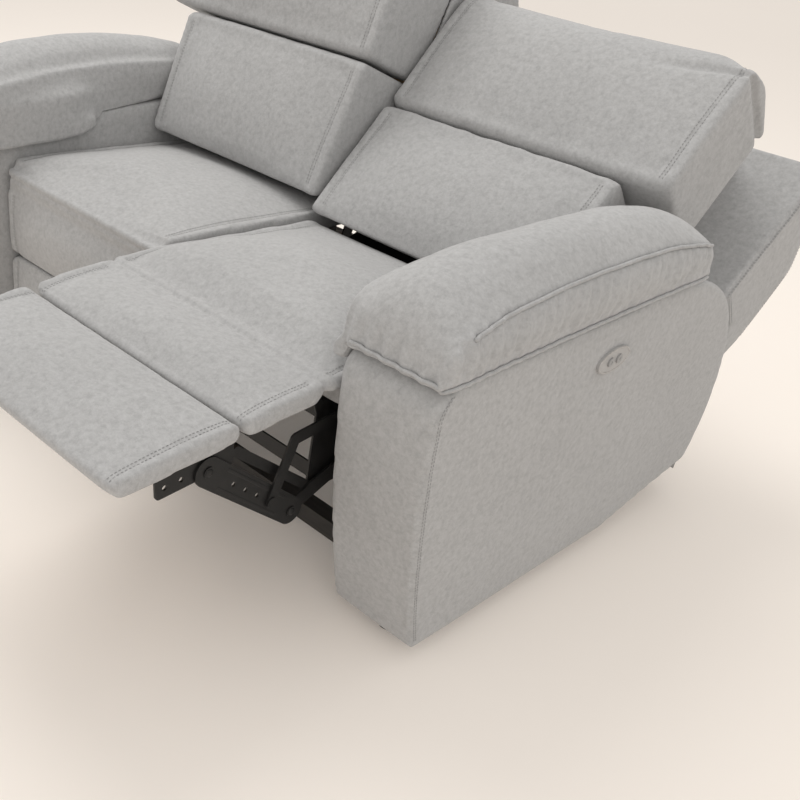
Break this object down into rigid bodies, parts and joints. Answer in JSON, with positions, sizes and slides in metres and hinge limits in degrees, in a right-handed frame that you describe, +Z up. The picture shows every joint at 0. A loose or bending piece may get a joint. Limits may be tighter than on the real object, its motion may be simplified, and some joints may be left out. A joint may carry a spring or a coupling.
{
  "type": "reclining sofa",
  "caption": "Two-seat power reclining sofa with padded arms, one seat stretched out with raised footrest and laid-back cushion, the other closed.",
  "frame": {"origin": "centre of the underside of the middle foot, midway between the two seats, on the floor", "axes": "+X to the right as seen from the front, +Y from the footrests to the backs, +Z up"},
  "size_m": [1.5944, 1.6602, 1.0716],
  "materials": {
    "suede": "soft matt suede-like weave",
    "wood": "raw sawn wood",
    "black_wood": "wood stained black",
    "black_steel": "semi-gloss black coat",
    "bright_steel": "bright drawn steel",
    "spring_steel": "oiled spring wire",
    "deck_cloth": "thin black dust cloth",
    "plate_plastic": "satin light grey",
    "button_plastic": "satin grey",
    "black_plastic": "matt black"
  },
  "bodies": {
    "base_body": {"base_front_rail": "black_wood", "base_middle_beam": "black_wood", "base_rear_rail": "black_wood", "base_tracks": "black_steel", "feet": "black_plastic", "left_arm_cover": "suede", "left_arm_frame": "wood", "left_arm_pad": "suede", "left_control_plate": "plate_plastic", "rear_skirts": "suede", "right_arm_cover": "suede", "right_arm_frame": "wood", "right_arm_pad": "suede", "right_control_plate": "plate_plastic"},
    "right_seat_body": {"right_mechanism_plates": "black_steel", "right_seat_cross_rails": "black_steel", "right_seat_springs": "spring_steel", "right_deck_cloth": "deck_cloth", "right_seat_cushion": "suede"},
    "right_footrest_body": {"right_front_pad": "suede", "right_footrest_pad": "suede", "right_footrest_board": "wood", "right_footrest_brackets": "black_steel"},
    "right_lift_link_body": {"right_lift_links": "black_steel"},
    "right_wide_link_body": {"right_wide_links": "black_steel"},
    "right_slim_link_body": {"right_slim_links": "black_steel"},
    "right_curved_link_body": {"right_curved_links": "black_steel"},
    "right_actuator_body": {"right_actuator_housing": "black_plastic"},
    "right_actuator_rod_body": {"right_actuator_rod": "bright_steel"},
    "right_back_body": {"right_back_brackets": "black_steel", "right_back_frame": "wood", "right_outer_back": "suede", "right_back_wing": "suede", "right_lumbar_cushion": "suede", "right_head_cushion": "suede"},
    "right_back_button_body": {"right_back_button": "button_plastic"},
    "right_forward_button_body": {"right_forward_button": "button_plastic"},
    "left_seat_body": {"left_mechanism_plates": "black_steel", "left_seat_cross_rails": "black_steel", "left_seat_springs": "spring_steel", "left_deck_cloth": "deck_cloth", "left_seat_cushion": "suede"},
    "left_footrest_body": {"left_front_pad": "suede", "left_footrest_pad": "suede", "left_footrest_board": "wood", "left_footrest_brackets": "black_steel"},
    "left_lift_link_body": {"left_lift_links": "black_steel"},
    "left_wide_link_body": {"left_wide_links": "black_steel"},
    "left_slim_link_body": {"left_slim_links": "black_steel"},
    "left_curved_link_body": {"left_curved_links": "black_steel"},
    "left_actuator_body": {"left_actuator_housing": "black_plastic"},
    "left_actuator_rod_body": {"left_actuator_rod": "bright_steel"},
    "left_back_body": {"left_back_brackets": "black_steel", "left_back_frame": "wood", "left_outer_back": "suede", "left_back_wing": "suede", "left_lumbar_cushion": "suede", "left_head_cushion": "suede"},
    "left_back_button_body": {"left_back_button": "button_plastic"},
    "left_forward_button_body": {"left_forward_button": "button_plastic"}
  },
  "joints": [
    {"name": "right_seat_slide", "type": "slide", "parent": "base_body", "child": "right_seat_body", "axis": [0, 1, 0], "range_m": [0, 0.14]},
    {"name": "right_footrest_turn", "type": "hinge", "parent": "right_seat_body", "child": "right_footrest_body", "pos_m": [0.2925, -0.522, 0.474], "axis": [1, 0, 0], "range_deg": [0, 86]},
    {"name": "right_lift_link_turn", "type": "hinge", "parent": "right_seat_body", "child": "right_lift_link_body", "pos_m": [0.2925, -0.355, 0.33], "axis": [1, 0, 0], "range_deg": [0, 100.93]},
    {"name": "right_wide_link_turn", "type": "hinge", "parent": "right_lift_link_body", "child": "right_wide_link_body", "pos_m": [0.2925, -0.555, 0.25], "axis": [1, 0, 0], "range_deg": [-84.19, 0]},
    {"name": "right_slim_link_turn", "type": "hinge", "parent": "right_lift_link_body", "child": "right_slim_link_body", "pos_m": [0.2925, -0.50331, 0.27389], "axis": [1, 0, 0], "range_deg": [-92.16, 0]},
    {"name": "right_curved_link_turn", "type": "hinge", "parent": "right_seat_body", "child": "right_curved_link_body", "pos_m": [0.2925, -0.38412, 0.42075], "axis": [1, 0, 0], "range_deg": [0, 78.78]},
    {"name": "right_actuator_turn", "type": "hinge", "parent": "right_seat_body", "child": "right_actuator_body", "pos_m": [0.2925, -0.12, 0.3], "axis": [1, 0, 0], "range_deg": [0, 1.71]},
    {"name": "right_actuator_rod_slide", "type": "slide", "parent": "right_actuator_body", "child": "right_actuator_rod_body", "axis": [0, 0.9987, 0.0503], "range_m": [0, 0.10776]},
    {"name": "right_back_recline", "type": "hinge", "parent": "right_seat_body", "child": "right_back_body", "pos_m": [0.2925, -0.116, 0.238], "axis": [1, 0, 0], "range_deg": [0, 24]},
    {"name": "right_back_button_press", "type": "slide", "parent": "base_body", "child": "right_back_button_body", "axis": [-1, 0, 0], "range_m": [0, 0.0015], "stiffness_N_per_m": 1500},
    {"name": "right_forward_button_press", "type": "slide", "parent": "base_body", "child": "right_forward_button_body", "axis": [-1, 0, 0], "range_m": [0, 0.0015], "stiffness_N_per_m": 1500},
    {"name": "left_seat_slide", "type": "slide", "parent": "base_body", "child": "left_seat_body", "axis": [0, 1, 0], "range_m": [-0.14, 0]},
    {"name": "left_footrest_turn", "type": "hinge", "parent": "left_seat_body", "child": "left_footrest_body", "pos_m": [-0.2925, -0.382, 0.474], "axis": [1, 0, 0], "range_deg": [-86, 0]},
    {"name": "left_lift_link_turn", "type": "hinge", "parent": "left_seat_body", "child": "left_lift_link_body", "pos_m": [-0.2925, -0.215, 0.33], "axis": [1, 0, 0], "range_deg": [-100.93, 0]},
    {"name": "left_wide_link_turn", "type": "hinge", "parent": "left_lift_link_body", "child": "left_wide_link_body", "pos_m": [-0.2925, -0.09852, 0.1488], "axis": [1, 0, 0], "range_deg": [0, 84.19]},
    {"name": "left_slim_link_turn", "type": "hinge", "parent": "left_lift_link_body", "child": "left_slim_link_body", "pos_m": [-0.2925, -0.13178, 0.19503], "axis": [1, 0, 0], "range_deg": [0, 92.16]},
    {"name": "left_curved_link_turn", "type": "hinge", "parent": "left_seat_body", "child": "left_curved_link_body", "pos_m": [-0.2925, -0.24412, 0.42075], "axis": [1, 0, 0], "range_deg": [-78.78, 0]},
    {"name": "left_actuator_turn", "type": "hinge", "parent": "left_seat_body", "child": "left_actuator_body", "pos_m": [-0.2925, 0.02, 0.3], "axis": [1, 0, 0], "range_deg": [-1.71, 0]},
    {"name": "left_actuator_rod_slide", "type": "slide", "parent": "left_actuator_body", "child": "left_actuator_rod_body", "axis": [0, 0.9968, 0.0802], "range_m": [-0.10776, 0]},
    {"name": "left_back_recline", "type": "hinge", "parent": "left_seat_body", "child": "left_back_body", "pos_m": [-0.2925, 0.024, 0.238], "axis": [1, 0, 0], "range_deg": [-24, 0]},
    {"name": "left_back_button_press", "type": "slide", "parent": "base_body", "child": "left_back_button_body", "axis": [1, 0, 0], "range_m": [0, 0.0015], "stiffness_N_per_m": 1500},
    {"name": "left_forward_button_press", "type": "slide", "parent": "base_body", "child": "left_forward_button_body", "axis": [1, 0, 0], "range_m": [0, 0.0015], "stiffness_N_per_m": 1500}
  ],
  "couplings": [
    {"joint": "right_footrest_turn", "follows": "right_seat_slide", "rad_per_m": 10.721},
    {"joint": "right_lift_link_turn", "follows": "right_seat_slide", "rad_per_m": 12.583},
    {"joint": "right_wide_link_turn", "follows": "right_seat_slide", "rad_per_m": -10.495},
    {"joint": "right_slim_link_turn", "follows": "right_seat_slide", "rad_per_m": -11.49},
    {"joint": "right_curved_link_turn", "follows": "right_seat_slide", "rad_per_m": 9.821},
    {"joint": "right_actuator_turn", "follows": "right_seat_slide", "rad_per_m": 0.2137},
    {"joint": "right_actuator_rod_slide", "follows": "right_seat_slide", "ratio": 0.76969},
    {"joint": "left_footrest_turn", "follows": "left_seat_slide", "rad_per_m": 10.721},
    {"joint": "left_lift_link_turn", "follows": "left_seat_slide", "rad_per_m": 12.583},
    {"joint": "left_wide_link_turn", "follows": "left_seat_slide", "rad_per_m": -10.495},
    {"joint": "left_slim_link_turn", "follows": "left_seat_slide", "rad_per_m": -11.49},
    {"joint": "left_curved_link_turn", "follows": "left_seat_slide", "rad_per_m": 9.821},
    {"joint": "left_actuator_turn", "follows": "left_seat_slide", "rad_per_m": 0.2137},
    {"joint": "left_actuator_rod_slide", "follows": "left_seat_slide", "ratio": 0.76969}
  ]
}
